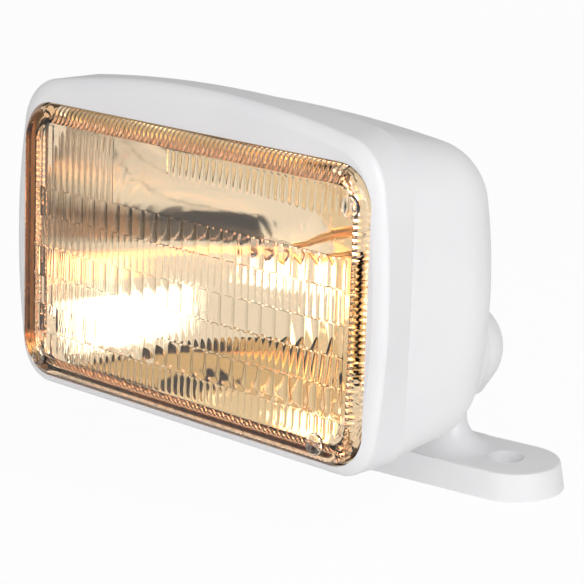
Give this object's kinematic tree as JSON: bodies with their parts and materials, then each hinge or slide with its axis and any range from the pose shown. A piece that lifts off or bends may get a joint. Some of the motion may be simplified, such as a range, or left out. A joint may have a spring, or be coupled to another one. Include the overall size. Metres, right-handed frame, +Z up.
{
  "type": "spotlight",
  "caption": "Rectangular sealed-beam deck spotlight with a fluted glass lens in a moulded housing, turning and tilting on a ball swivel above an oval screw-down foot.",
  "frame": {"origin": "centre of the foot's underside, where the swivel's upright axis meets the mounting surface", "axes": "+X along the foot, +Z up from the mounting face, the lamp looks along -Y when the head isn't turned"},
  "size_m": [0.1737, 0.1723, 0.1684],
  "materials": {
    "white_plastic": "moulded, satin gloss",
    "black_plastic": "moulded, matte",
    "black_rubber": "moulded, matte",
    "lens_glass": "pressed, fire-polished outside",
    "capsule_glass": "drawn quartz, clear",
    "reflector_coating": "vacuum-aluminised glass",
    "stainless_steel": "machined, passivated",
    "plated_steel": "zinc plated",
    "tungsten": "drawn wire",
    "brass": "stamped, bright"
  },
  "bodies": {
    "base": {"mounting_foot": "white_plastic", "swivel_bolt": "stainless_steel", "friction_washer": "black_plastic", "spring_washer": "stainless_steel", "swivel_nut": "stainless_steel"},
    "swivel": {"swivel_ball": "white_plastic", "trunnion_pins": "stainless_steel"},
    "head": {"rear_housing": "white_plastic", "front_bezel": "white_plastic", "housing_seal": "black_rubber", "bezel_screws": "stainless_steel", "lens_gasket": "black_rubber", "lens": "lens_glass", "reflector": "reflector_coating", "halogen_capsule": "capsule_glass", "filament": "tungsten", "filament_posts": "plated_steel", "terminal_blades": "brass", "lamp_connector": "black_plastic", "lamp_frame": "plated_steel", "frame_screws": "plated_steel", "ball_retainer": "black_plastic", "retainer_screws": "plated_steel", "cable_grommet": "black_rubber"}
  },
  "joints": [
    {"name": "swivel_pan", "type": "hinge", "parent": "base", "child": "swivel", "pos_m": [0, 0, 0.0498], "axis": [0, 0, 1], "range_deg": [-90, 90]},
    {"name": "head_tilt", "type": "hinge", "parent": "swivel", "child": "head", "pos_m": [0, 0, 0.0498], "axis": [0.9938, -0.1115, 0], "range_deg": [-27.2, 17.8]}
  ]
}
